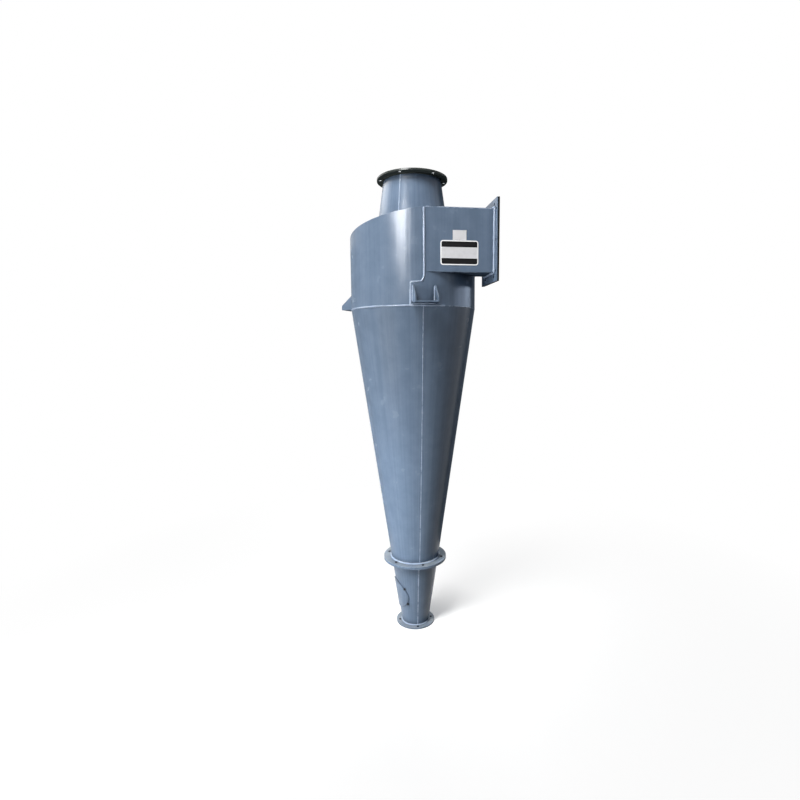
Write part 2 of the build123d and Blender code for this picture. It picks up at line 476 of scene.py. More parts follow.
def enamel_material(name, colour, pale, edge, roll_depth, sheen, painted_shade=0.0, holes=None, bore_steel_or_shade=None):
    """Sprayed alkyd enamel on rolled sheet: a satin coat with long soft bands from the rolls, a
    cloudy spray, orange peel, rubbed edges, painted shade in the corners and on undersides, and dust
    on what faces up."""
    made, tree = new_material(name)
    place = add_node(tree, "ShaderNodeTexCoord").outputs["Object"]
    split = add_node(tree, "ShaderNodeSeparateXYZ", {0: place}).outputs
    flat = {0: place, 1: (1, 1, 0)}
    level = add_node(tree, "ShaderNodeVectorMath", flat, operation="MULTIPLY").outputs[0]
    round_axis = add_node(tree, "ShaderNodeVectorMath", {0: level}, operation="NORMALIZE")
    # Bands of about 25 mm at the barrel, 1.5 m long, that run toward the cone's tip
    height = add_node(tree, "ShaderNodeMath", {0: split[2], 1: ROLL_LIFT}, operation="MULTIPLY")
    lift = add_node(tree, "ShaderNodeCombineXYZ", {2: height.outputs[0]})
    run = {0: round_axis.outputs[0], 1: lift.outputs[0]}
    rolled = add_node(tree, "ShaderNodeVectorMath", run, operation="ADD")
    bands = add_node(
        tree,
        "ShaderNodeTexNoise",
        {"Vector": rolled.outputs[0], "Scale": ROLL_SCALE, "Detail": 4.0, "Roughness": 0.66},
    ).outputs[0]
    # Clouds of spray, orange peel, and ragged wear, by size in millimetres and detail. The peel is
    # near 2 mm in life; 6 mm shows at this distance
    grains = []
    for millimetres, detail in ((70, 4.0), (6, 1.0), (9, 5.0)):
        grain = {"Vector": place, "Scale": per_metre(millimetres), "Detail": detail}
        grains.append(add_node(tree, "ShaderNodeTexNoise", grain).outputs[0])
    cloud, peel, fine = grains
    both = add_node(tree, "ShaderNodeMath", {0: bands, 1: cloud}, operation="ADD").outputs[0]
    blend = add_node(
        tree,
        "ShaderNodeMapRange",
        {"Value": both, "From Min": 0.8, "From Max": 1.2, "To Min": 0.0, "To Max": 0.5},
    )
    coat = add_node(
        tree,
        "ShaderNodeMix",
        {0: blend.outputs[0], 6: rgba(colour), 7: rgba(pale)},
        data_type="RGBA",
    )
    # Edges are found where a small rounding would turn the surface
    rounding = add_node(tree, "ShaderNodeBevel", {"Radius": EDGE_ROUNDING}, samples=4).outputs[0]
    normal = add_node(tree, "ShaderNodeNewGeometry").outputs["Normal"]
    normals = {0: rounding, 1: normal}
    turn = add_node(tree, "ShaderNodeVectorMath", normals, operation="DOT_PRODUCT").outputs["Value"]
    worn = add_node(
        tree,
        "ShaderNodeMapRange",
        {"Value": turn, "From Min": 0.995, "From Max": 0.8, "To Min": 0.0, "To Max": 1.0},
    )
    ragged = add_node(
        tree,
        "ShaderNodeMapRange",
        {"Value": fine, "From Min": 0.42, "From Max": 0.62, "To Min": 0.15, "To Max": 0.75},
    )
    rub = add_node(
        tree, "ShaderNodeMath", {0: worn.outputs[0], 1: ragged.outputs[0]}, operation="MULTIPLY"
    )
    edged = add_node(
        tree,
        "ShaderNodeMix",
        {0: rub.outputs[0], 6: coat.outputs[2], 7: rgba(edge)},
        data_type="RGBA",
    )
    facing = add_node(tree, "ShaderNodeSeparateXYZ", {0: normal}).outputs[2]
    upward = add_node(
        tree,
        "ShaderNodeMapRange",
        {"Value": facing, "From Min": 0.5, "From Max": 1.0, "To Min": 0.0, "To Max": 0.6},
    )
    film = add_node(tree, "ShaderNodeMath", {0: upward.outputs[0], 1: cloud}, operation="MULTIPLY")
    dusted = add_node(
        tree,
        "ShaderNodeMix",
        {0: film.outputs[0], 6: edged.outputs[2], 7: rgba(DUST)},
        data_type="RGBA",
    )
    skin_colour = dusted.outputs[2]
    # Painted shade follows: undersides and corners are darkened
    if painted_shade:
        # Painted shade: faces that look down are darkened toward a dark blue-grey
        below = add_node(
            tree,
            "ShaderNodeMapRange",
            {"Value": facing, "From Min": -0.95, "From Max": -0.6, "To Min": 0.4, "To Max": 0.0},
        )
        underside_shaded = add_node(
            tree,
            "ShaderNodeMix",
            {0: below.outputs[0], 6: skin_colour, 7: rgba(UNDERSIDE_SHADE_TONE)},
            data_type="RGBA",
        )
        # Painted shade darkens the enamel within 40 mm of a corner
        corner = add_node(tree, "ShaderNodeAmbientOcclusion", {"Distance": 0.04}, samples=6)
        space = corner.outputs["AO"]
        depth = add_node(
            tree,
            "ShaderNodeMapRange",
            {"Value": space, "From Min": 0.3, "From Max": 0.9, "To Min": painted_shade, "To Max": 0.0},
        )
        # Upward faces get less of this painted shade
        shade_kept_by_facing = add_node(
            tree,
            "ShaderNodeMapRange",
            {"Value": facing, "From Min": 0.3, "From Max": 0.9, "To Min": 1.0, "To Max": 0.25},
        )
        corner_shade_share = add_node(
            tree, "ShaderNodeMath", {0: depth.outputs[0], 1: shade_kept_by_facing.outputs[0]}, operation="MULTIPLY"
        )
        corner_shaded = add_node(
            tree,
            "ShaderNodeMix",
            {0: corner_shade_share.outputs[0], 6: underside_shaded.outputs[2], 7: rgba(CORNER_SHADE_TONE)},
            data_type="RGBA",
        )
        skin_colour = corner_shaded.outputs[2]
    if holes:
        # Hole bores: bare steel on the outlet flange, and a painted shade that darkens those of the
        # dust flange
        inside = hole_mask(tree, split, level, *holes)
        drilled = add_node(
            tree, "ShaderNodeMix", {0: inside, 6: skin_colour, 7: rgba(bore_steel_or_shade)}, data_type="RGBA"
        )
        skin_colour = drilled.outputs[2]
    gloss = add_node(
        tree,
        "ShaderNodeMapRange",
        {"Value": cloud, "From Min": 0.3, "From Max": 0.7, "To Min": 0.20, "To Max": 0.28},
    )
    rolls = add_node(
        tree, "ShaderNodeBump", {"Distance": roll_depth, "Height": bands, "Normal": rounding}
    )
    skin = add_node(
        tree,
        "ShaderNodeBump",
        {"Strength": 0.5, "Distance": PEEL_DEPTH, "Height": peel, "Normal": rolls.outputs[0]},
    )
    # Undersides have only matt overspray
    shine = add_node(
        tree,
        "ShaderNodeMapRange",
        {"Value": facing, "From Min": -0.9, "From Max": -0.5, "To Min": 0.0, "To Max": sheen},
    )
    shader = add_node(
        tree,
        "ShaderNodeBsdfPrincipled",
        {
            "Base Color": skin_colour,
            "Roughness": gloss.outputs[0],
            "IOR": 1.5,
            "Specular IOR Level": shine.outputs[0],
            "Normal": skin.outputs[0],
        },
    )
    add_node(tree, "ShaderNodeOutputMaterial", {"Surface": shader.outputs[0]})
    return made


def rubber_material(name, colour, pale):
    """Cut sheet rubber: matt, dark, with a fine grain and a pale bloom."""
    made, tree = new_material(name)
    place = add_node(tree, "ShaderNodeTexCoord").outputs["Object"]
    bloom = add_node(
        tree, "ShaderNodeTexNoise", {"Vector": place, "Scale": per_metre(40), "Detail": 5.0}
    )
    grain = add_node(
        tree, "ShaderNodeTexNoise", {"Vector": place, "Scale": per_metre(3), "Detail": 2.0}
    )
    share = add_node(
        tree,
        "ShaderNodeMapRange",
        {"Value": bloom.outputs[0], "From Min": 0.4, "From Max": 0.75, "To Min": 0, "To Max": 0.35},
    )
    tone = add_node(
        tree,
        "ShaderNodeMix",
        {0: share.outputs[0], 6: rgba(colour), 7: rgba(pale)},
        data_type="RGBA",
    )
    relief = add_node(
        tree, "ShaderNodeBump", {"Strength": 0.6, "Distance": 0.0003, "Height": grain.outputs[0]}
    )
    shader = add_node(
        tree,
        "ShaderNodeBsdfPrincipled",
        {
            "Base Color": tone.outputs[2],
            "Roughness": 0.75,
            "Specular IOR Level": 0.12,
            "Normal": relief.outputs[0],
        },
    )
    add_node(tree, "ShaderNodeOutputMaterial", {"Surface": shader.outputs[0]})
    return made


def oxide_material(name, colour):
    """Black-oxide steel: a dark oiled metal whose sheen is broken by small bright rubs."""
    made, tree = new_material(name)
    place = add_node(tree, "ShaderNodeTexCoord").outputs["Object"]
    rubs = add_node(
        tree, "ShaderNodeTexNoise", {"Vector": place, "Scale": per_metre(3), "Detail": 4.0}
    )
    share = add_node(
        tree,
        "ShaderNodeMapRange",
        {"Value": rubs.outputs[0], "From Min": 0.55, "From Max": 0.75, "To Min": 0, "To Max": 0.5},
    )
    tone = add_node(
        tree,
        "ShaderNodeMix",
        {0: share.outputs[0], 6: rgba(colour), 7: rgba(linear("#6F6F70"))},
        data_type="RGBA",
    )
    gloss = add_node(
        tree,
        "ShaderNodeMapRange",
        {"Value": rubs.outputs[0], "From Min": 0.3, "From Max": 0.7, "To Min": 0.5, "To Max": 0.35},
    )
    shader = add_node(
        tree,
        "ShaderNodeBsdfPrincipled",
        {"Base Color": tone.outputs[2], "Metallic": 0.7, "Roughness": gloss.outputs[0]},
    )
    add_node(tree, "ShaderNodeOutputMaterial", {"Surface": shader.outputs[0]})
    return made


def aluminium_material(name):
    """Brushed aluminium sheet: bright, with fine level brush lines."""
    made, tree = new_material(name)
    place = add_node(tree, "ShaderNodeTexCoord").outputs["Object"]
    # Brush lines of about 1 mm by 60 mm, drawn coarse so that they show
    lines = (per_metre(62.5), per_metre(1), per_metre(1))
    stretched = add_node(tree, "ShaderNodeMapping", {"Vector": place, "Scale": lines})
    brush = add_node(
        tree, "ShaderNodeTexNoise", {"Vector": stretched.outputs[0], "Scale": 1.0, "Detail": 3.0}
    )
    tone = add_node(
        tree,
        "ShaderNodeMix",
        {0: brush.outputs[0], 6: rgba(linear("#D6D7D9")), 7: rgba(linear("#F2F2F2"))},
        data_type="RGBA",
    )
    gloss = add_node(
        tree, "ShaderNodeMapRange", {"Value": brush.outputs[0], "To Min": 0.28, "To Max": 0.45}
    )
    shader = add_node(
        tree,
        "ShaderNodeBsdfPrincipled",
        {"Base Color": tone.outputs[2], "Metallic": 1.0, "Roughness": gloss.outputs[0]},
    )
    add_node(tree, "ShaderNodeOutputMaterial", {"Surface": shader.outputs[0]})
    return made


def ink_material(name, colour, aged, roughness, sheen):
    """Screen ink or vinyl: a smooth even film, a little yellowed and scuffed in patches."""
    made, tree = new_material(name)
    place = add_node(tree, "ShaderNodeTexCoord").outputs["Object"]
    patches = add_node(
        tree, "ShaderNodeTexNoise", {"Vector": place, "Scale": per_metre(25), "Detail": 5.0}
    )
    share = add_node(
        tree,
        "ShaderNodeMapRange",
        {"Value": patches.outputs[0], "From Min": 0.45, "From Max": 0.75, "To Min": 0, "To Max": 0.6},
    )
    tone = add_node(
        tree,
        "ShaderNodeMix",
        {0: share.outputs[0], 6: rgba(linear(colour)), 7: rgba(linear(aged))},
        data_type="RGBA",
    )
    gloss = add_node(
        tree,
        "ShaderNodeMapRange",
        {"Value": patches.outputs[0], "To Min": roughness - 0.08, "To Max": roughness + 0.08},
    )
    shader = add_node(
        tree,
        "ShaderNodeBsdfPrincipled",
        {"Base Color": tone.outputs[2], "Roughness": gloss.outputs[0], "Specular IOR Level": sheen},
    )
    add_node(tree, "ShaderNodeOutputMaterial", {"Surface": shader.outputs[0]})
    return made


def finish(name):
    """A finish by name, made when it is first asked for."""
    if name in bpy.data.materials:
        return bpy.data.materials[name]
    colours = bpy.context.scene.cyclone_finishes
    # The last value of a recipe is the strength of the painted shade in corners and on undersides
    blue = (colours.enamel, colours.enamel_pale, RUBBED, ROLL_DEPTH, 0.28, 0.8)
    black = (colours.black, linear("#474C46"), linear("#52574F"), 0.0, 0.15, 0.0)
    recipes = {
        "grey_blue_enamel": (enamel_material, *blue),
        # The dust flange's hole bores carry a painted shade
        "drilled_enamel": (enamel_material, *blue, DUST_HOLES, HOLE_SHADE_TONE),
        "weld_enamel": (enamel_material, BEAD_TONE_AND_HIGHLIGHT, RUBBED, RUBBED, 0.0, 0.5),
        "satin_black_paint": (enamel_material, *black, OUTLET_HOLES, BRIGHT_BORE),
        "sheet_rubber": (rubber_material, colours.rubber, linear("#26282A")),
        "oversprayed_rubber": (rubber_material, linear("#53647C"), linear("#70829B")),
        "black_oxide_steel": (oxide_material, colours.oxide),
        "brushed_aluminium": (aluminium_material,),
        "white_ink": (ink_material, "#F6F6F8", "#E4E3E3", 0.42, 0.4),
        "black_ink": (ink_material, "#0B0B0D", "#18191C", 0.55, 0.12),
        "label_vinyl": (ink_material, "#F6F5F6", "#E9E7E8", 0.50, 0.4),
    }
    make, *values = recipes[name]
    return make(name, *values)


# Shapes


def at(radius, azimuth, z):
    """A point by radius, azimuth and height."""
    angle = radians(azimuth)
    return Vector((radius * sin(angle), -radius * cos(angle), z))


def roof_z(azimuth):
    """Height of the roof's upper face, which climbs from its low end to azimuth 360."""
    share = (azimuth - ROOF_LOW_AZ) / (360.0 - ROOF_LOW_AZ)
    return ROOF_LOW_Z + (DUCT_HIGH.z - ROOF_LOW_Z) * share


def arc(radius, start, end, height):
    """Points along an arc, with the height as a number or a function of azimuth."""
    count = max(2, round(abs(end - start) / ARC_STEP))
    azimuths = [start + (end - start) * i / count for i in range(count + 1)]
    rise = height if callable(height) else lambda azimuth: height
    return [at(radius, azimuth, rise(azimuth)) for azimuth in azimuths]


def ring(radius, z):
    """Points once round the axis, for a closed run."""
    return arc(radius, 0.0, 360.0, z)[:-1]


def wall_y(x):
    """The barrel's front face at a distance from the middle."""
    return -sqrt(BODY_R**2 - x**2)


def link(name, data):
    """A new object in the scene."""
    made = bpy.data.objects.new(name, data)
    bpy.context.scene.collection.objects.link(made)
    return made


def new_piece(name, mesh):
    """A finished piece at the origin that rides on the frame."""
    piece = link(name, mesh)
    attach(piece, BODY)


def evaluated_mesh(carrier, tree, values):
    """The plain mesh that a node tree makes of a carrier, which is then removed."""
    modifier = carrier.modifiers.new(tree.name, "NODES")
    modifier.node_group = tree
    for item in tree.interface.items_tree:
        if item.in_out == "INPUT" and item.name in values:
            modifier[item.identifier] = values[item.name]
    graph = bpy.context.evaluated_depsgraph_get()
    mesh = bpy.data.meshes.new_from_object(carrier.evaluated_get(graph), depsgraph=graph)
    carrier.modifiers.remove(modifier)
    old = carrier.data
    bpy.data.objects.remove(carrier)
    bpy.data.meshes.remove(old)
    if not mesh.polygons:
        raise RuntimeError(f"{tree.name} made no faces")
    return mesh


def new_tree(name, sockets):
    """An empty geometry tree with named inputs, and its input node's sockets."""
    tree = bpy.data.node_groups.new(name, "GeometryNodeTree")
    tree.interface.new_socket("Geometry", in_out="INPUT", socket_type="NodeSocketGeometry")
    for label, kind in sockets:
        tree.interface.new_socket(label, in_out="INPUT", socket_type=kind)
    tree.interface.new_socket("Geometry", in_out="OUTPUT", socket_type="NodeSocketGeometry")
    return tree, add_node(tree, "NodeGroupInput").outputs


def end_tree(tree, geometry, material):
    """Realises the result, sets its material and sends it out."""
    real = add_node(tree, "GeometryNodeRealizeInstances", {0: geometry})
    painted = add_node(tree, "GeometryNodeSetMaterial", {0: real.outputs[0], "Material": material})
    add_node(tree, "NodeGroupOutput", {0: painted.outputs[0]})


def bead_tree():
    """Lays a rippled bead along every edge run of a wire mesh; its radius is the attribute bead."""
    if "weld_bead" in bpy.data.node_groups:
        return bpy.data.node_groups["weld_bead"]
    tree, given = new_tree(
        "weld_bead",
        [
            ("Ripple spacing", "NodeSocketFloat"),
            ("Ripple height", "NodeSocketFloat"),
            ("Unevenness", "NodeSocketFloat"),
            ("Waver", "NodeSocketFloat"),
            ("Seed", "NodeSocketInt"),
            ("Material", "NodeSocketMaterial"),
        ],
    )
    spacing = given["Ripple spacing"]
    step = add_node(tree, "ShaderNodeMath", {0: spacing, 1: 4.0}, operation="DIVIDE")
    runs = add_node(tree, "GeometryNodeMeshToCurve", {0: given["Geometry"]})
    even = add_node(
        tree,
        "GeometryNodeResampleCurve",
        {"Curve": runs.outputs[0], "Length": step.outputs[0]},
        mode="LENGTH",
    )
    stray = add_node(
        tree,
        "ShaderNodeTexNoise",
        {"W": given["Seed"], "Scale": per_metre(30), "Detail": 2.0},
        noise_dimensions="4D",
    )
    about = add_node(
        tree,
        "ShaderNodeVectorMath",
        {0: stray.outputs["Color"], 1: (0.5, 0.5, 0.5)},
        operation="SUBTRACT",
    )
    drift = add_node(
        tree,
        "ShaderNodeVectorMath",
        {0: about.outputs[0], "Scale": given["Waver"]},
        operation="SCALE",
    )
    doubled = add_node(
        tree, "ShaderNodeVectorMath", {0: drift.outputs[0], "Scale": 2.0}, operation="SCALE"
    )
    laid = add_node(
        tree, "GeometryNodeSetPosition", {0: even.outputs[0], "Offset": doubled.outputs[0]}
    )
    along = add_node(tree, "GeometryNodeSplineParameter").outputs["Length"]
    turns = add_node(tree, "ShaderNodeMath", {0: along, 1: spacing}, operation="DIVIDE")
    part = add_node(tree, "ShaderNodeMath", {0: turns.outputs[0]}, operation="FRACT")
    curved = add_node(
        tree, "ShaderNodeMath", {0: part.outputs[0], 1: part.outputs[0]}, operation="MULTIPLY"
    )
    dip = add_node(
        tree,
        "ShaderNodeMath",
        {0: curved.outputs[0], 1: given["Ripple height"]},
        operation="MULTIPLY",
    )
    scallop = add_node(tree, "ShaderNodeMath", {0: 1.0, 1: dip.outputs[0]}, operation="SUBTRACT")
    swell = add_node(
        tree,
        "ShaderNodeTexNoise",
        {"W": given["Seed"], "Scale": per_metre(22), "Detail": 2.0},
        noise_dimensions="4D",
    )
    spread = add_node(
        tree,
        "ShaderNodeMapRange",
        {"Value": swell.outputs[0], "From Min": 0.3, "From Max": 0.7, "To Min": -1.0, "To Max": 1.0},
    )
    uneven = add_node(
        tree,
        "ShaderNodeMath",
        {0: spread.outputs[0], 1: given["Unevenness"], 2: 1.0},
        operation="MULTIPLY_ADD",
    )
    # Open runs thin out over their last few millimetres
    whole = add_node(tree, "GeometryNodeSplineLength")
    left = add_node(
        tree, "ShaderNodeMath", {0: whole.outputs["Length"], 1: along}, operation="SUBTRACT"
    )
    nearest = add_node(tree, "ShaderNodeMath", {0: left.outputs[0], 1: along}, operation="MINIMUM")
    tail = add_node(
        tree,
        "ShaderNodeMapRange",
        {"Value": nearest.outputs[0], "From Max": spacing, "To Min": 0.45, "To Max": 1.0},
        interpolation_type="SMOOTHSTEP",
    )
    closed = add_node(tree, "GeometryNodeInputSplineCyclic")
    kept = add_node(
        tree, "ShaderNodeMath", {0: tail.outputs[0], 1: closed.outputs[0]}, operation="MAXIMUM"
    )
    size = add_node(
        tree, "GeometryNodeInputNamedAttribute", {"Name": "bead"}, data_type="FLOAT"
    )
    scale = size.outputs[0]
    for factor in (scallop, uneven, kept):
        pair = {0: scale, 1: factor.outputs[0]}
        scale = add_node(tree, "ShaderNodeMath", pair, operation="MULTIPLY").outputs[0]
    section = add_node(tree, "GeometryNodeCurvePrimitiveCircle", {"Resolution": 10, "Radius": 1.0})
    bead = add_node(
        tree,
        "GeometryNodeCurveToMesh",
        {
            "Curve": laid.outputs[0],
            "Profile Curve": section.outputs[0],
            "Scale": scale,
            "Fill Caps": True,
        },
    )
    smooth = add_node(tree, "GeometryNodeSetShadeSmooth", {0: bead.outputs[0]})
    end_tree(tree, smooth.outputs[0], given["Material"])
    return tree


def weld_piece(name, runs):
    """A piece of weld beads from runs of (points, closed, radius)."""
    welds = bpy.context.scene.cyclone_welds
    points = []
    edges = []
    radii = []
    for run, closed, radius in runs:
        first = len(points)
        points += run
        radii += [radius] * len(run)
        edges += [(i, i + 1) for i in range(first, len(points) - 1)]
        if closed:
            edges.append((len(points) - 1, first))
    wire = bpy.data.meshes.new(name)
    wire.from_pydata(points, edges, [])
    wire.attributes.new("bead", "FLOAT", "POINT").data.foreach_set("value", radii)
    mesh = evaluated_mesh(
        link(name + "_path", wire),
        bead_tree(),
        {
            "Ripple spacing": welds.ripple,
            "Ripple height": welds.ripple_height,
            "Unevenness": welds.lump,
            "Waver": welds.waver,
            "Seed": welds.seed,
            # The beads' paler enamel is partly a painted highlight
            "Material": finish("weld_enamel"),
        },
    )
    mesh.name = name
    new_piece(name, mesh)


def fastener_tree():
    """Sets a fastener on every point of a mesh, along the attribute axis, each turned at random."""
    if "fasteners" in bpy.data.node_groups:
        return bpy.data.node_groups["fasteners"]
    tree, given = new_tree(
        "fasteners",
        [
            ("Fastener", "NodeSocketObject"),
            ("Largest turn", "NodeSocketFloat"),
            ("Seed", "NodeSocketInt"),
            ("Material", "NodeSocketMaterial"),
        ],
    )
    shape = add_node(tree, "GeometryNodeObjectInfo", {"Object": given["Fastener"]})
    axis = add_node(
        tree, "GeometryNodeInputNamedAttribute", {"Name": "axis"}, data_type="FLOAT_VECTOR"
    )
    upright = add_node(
        tree, "FunctionNodeAlignRotationToVector", {"Vector": axis.outputs[0]}, axis="Z"
    )
    spin = add_node(
        tree,
        "FunctionNodeRandomValue",
        {2: 0.0, 3: given["Largest turn"], "Seed": given["Seed"]},
        data_type="FLOAT",
    )
    about = add_node(tree, "ShaderNodeCombineXYZ", {2: spin.outputs[1]})
    turned = add_node(
        tree,
        "FunctionNodeRotateRotation",
        {0: upright.outputs[0], 1: about.outputs[0]},
        rotation_space="LOCAL",
    )
    set_down = add_node(
        tree,
        "GeometryNodeInstanceOnPoints",
        {
            "Points": given["Geometry"],
            "Instance": shape.outputs["Geometry"],
            "Rotation": turned.outputs[0],
        },
    )
    end_tree(tree, set_down.outputs[0], given["Material"])
    return tree


def fastener_piece(name, template, places, material):
    """A piece of like fasteners from places of (point, axis)."""
    points = bpy.data.meshes.new(name)
    points.from_pydata([point for point, axis in places], [], [])
    flat = [value for point, axis in places for value in axis]
    points.attributes.new("axis", "FLOAT_VECTOR", "POINT").data.foreach_set("vector", flat)
    carrier = link(name + "_points", points)
    pattern = link(name + "_pattern", template)
    mesh = evaluated_mesh(
        carrier,
        fastener_tree(),
        {
            "Fastener": pattern,
            "Largest turn": pi / 3,
            "Seed": bpy.context.scene.cyclone_fasteners.seed,
            "Material": finish(material),
        },
    )
    bpy.data.objects.remove(pattern)
    bpy.data.meshes.remove(template)
    mesh.name = name
    new_piece(name, mesh)


# Points in a fastener's loops, its crown as a share of the width across flats, and its chamfer
SIDES = 24
CROWN = 0.475
CHAMFER = 0.58


def round_loop(radius, z):
    """A round loop of points about Z."""
    angles = [2 * pi * i / SIDES for i in range(SIDES)]
    return [(radius * cos(a), radius * sin(a), z) for a in angles]


def hex_loop(flats, z, chamfer=0.0):
    """A hexagonal loop about Z; a chamfer lowers it where its corners reach out."""
    loop = []
    for i in range(SIDES):
        angle = 2 * pi * i / SIDES
        reach = flats / 2 / cos((angle + pi / 6) % (pi / 3) - pi / 6)
        drop = (reach - CROWN * flats) * chamfer
        loop.append((reach * cos(angle), reach * sin(angle), z - drop))
    return loop


def skin_loops(shape, loops):
    """A closed skin over loops of points, one above the other."""
    rows = [[shape.verts.new(point) for point in loop] for loop in loops]
    for low, high in zip(rows, rows[1:]):
        for i in range(len(low)):
            j = (i + 1) % len(low)
            shape.faces.new((low[i], low[j], high[j], high[i]))
    shape.faces.new(list(reversed(rows[0])))
    shape.faces.new(rows[-1])


def mesh_from(shape, name):
    """A mesh from a bmesh whose faces are turned outward."""
    bmesh.ops.recalc_face_normals(shape, faces=shape.faces)
    mesh = bpy.data.meshes.new(name)
    shape.to_mesh(mesh)
    shape.free()
    return mesh


def washer_loops(hole, rim, low, high):
    """Loops of a washer with a soft outer edge."""
    soft = (high - low) * 0.25
    return [
        round_loop(hole, low),
        round_loop(rim - soft, low),
        round_loop(rim, low + soft),
        round_loop(rim, high - soft),
        round_loop(rim - soft, high),
        round_loop(hole, high),
    ]


def hex_head_loops(flats, low, height):
    """Loops of a hexagon head with a chamfered crown and a washer face."""
    crown = CROWN * flats
    return [
        round_loop(crown, low),
        round_loop(crown, low + 0.04 * height),
        hex_loop(flats, low + 0.04 * height),
        hex_loop(flats, low + height, CHAMFER),
        round_loop(crown, low + height),
        round_loop(crown * 0.5, low + height * 1.02),
    ]


def bolt_mesh(flats, grip):
    """A hexagon bolt through a grip: its head above Z 0, its nut and thread end below."""
    shank = 0.31 * flats
    nut = 0.5 * flats
    low = -grip - nut
    crown = CROWN * flats
    shape = bmesh.new()
    skin_loops(shape, hex_head_loops(flats, 0.0, 0.4 * flats))
    skin_loops(
        shape,
        [
            round_loop(crown, low),
            hex_loop(flats, low, -CHAMFER),
            hex_loop(flats, low + nut, CHAMFER),
            round_loop(crown, low + nut),
        ],
    )
    thread = [round_loop(shank * 0.8, low - 0.30 * flats)]
    turns = 5
    pitch = 0.28 * flats / turns
    for i in range(turns):
        z = low - 0.28 * flats + i * pitch
        thread.append(round_loop(shank, z + 0.2 * pitch))
        thread.append(round_loop(shank, z + 0.5 * pitch))
        thread.append(round_loop(shank * 0.9, z + 0.9 * pitch))
    thread.append(round_loop(shank * 0.9, low + 0.2 * nut))
    skin_loops(shape, thread)
    return mesh_from(shape, "bolt")


def screw_mesh(flats, stand):
    """A small hexagon screw whose washer lies at Z 0, on a collar that stands on the sheet below."""
    washer = 0.15 * flats
    shape = bmesh.new()
    skin_loops(shape, washer_loops(0.3 * flats, 0.45 * flats, -stand - 0.0005, 0.0))
    skin_loops(shape, washer_loops(0.3 * flats, 0.75 * flats, 0.0, washer))
    skin_loops(shape, hex_head_loops(flats, washer, 0.4 * flats))
    return mesh_from(shape, "screw")


def rounded_outline(width, height, radii, inset):
    """Outline of a rectangle with a radius for each corner, from top right round to bottom right."""
    signs = ((1, 1), (-1, 1), (-1, -1), (1, -1))
    outline = []
    for (sx, sy), radius, start in zip(signs, radii, (0, 90, 180, 270)):
        bend = max(radius - inset, 0.00005)
        cx = sx * (width / 2 - inset - bend)
        cy = sy * (height / 2 - inset - bend)
        for i in range(7):
            angle = radians(start + 15 * i)
            outline.append((cx + bend * cos(angle), cy + bend * sin(angle)))
    return outline


def face_plate(shape, centre, size, radii, back, front, material=0):
    """A thin plate between two depths out from the inlet's outer side, with a soft front edge."""
    soft = (front - back) * 0.3
    x, z = centre
    loops = []
    for depth, inset in ((back, 0.0), (front - soft, 0.0), (front, soft)):
        outline = rounded_outline(*size, radii, inset)
        loops.append([(x + u, DUCT_LOW.y - depth, z + v) for u, v in outline])
    before = len(shape.faces)
    skin_loops(shape, loops)
    shape.faces.ensure_lookup_table()
    for face in shape.faces[before:]:
        face.material_index = material


# Operators


class CYCLONE_OT_paint(bpy.types.Operator):
    """Gives every CAD node its finish."""

    bl_idname = "cyclone.paint"
    bl_label = "Paint the sheet steel"

    def execute(self, context):
        finishes = {
            "blue_paint": "grey_blue_enamel",
            "black_paint": "satin_black_paint",
            "black_rubber": "sheet_rubber",
        }
        # The dust flange's finish paints shade into its holes
        special = {"hand_hole_gasket": "oversprayed_rubber", "dust_flange": "drilled_enamel"}
        for row in frame["record"]["subparts"]:
            name = special.get(row["node"], finishes[row["material_slot"]])
            frame["nodes"][row["node"]].material_slots[0].material = finish(name)
        return {"FINISHED"}


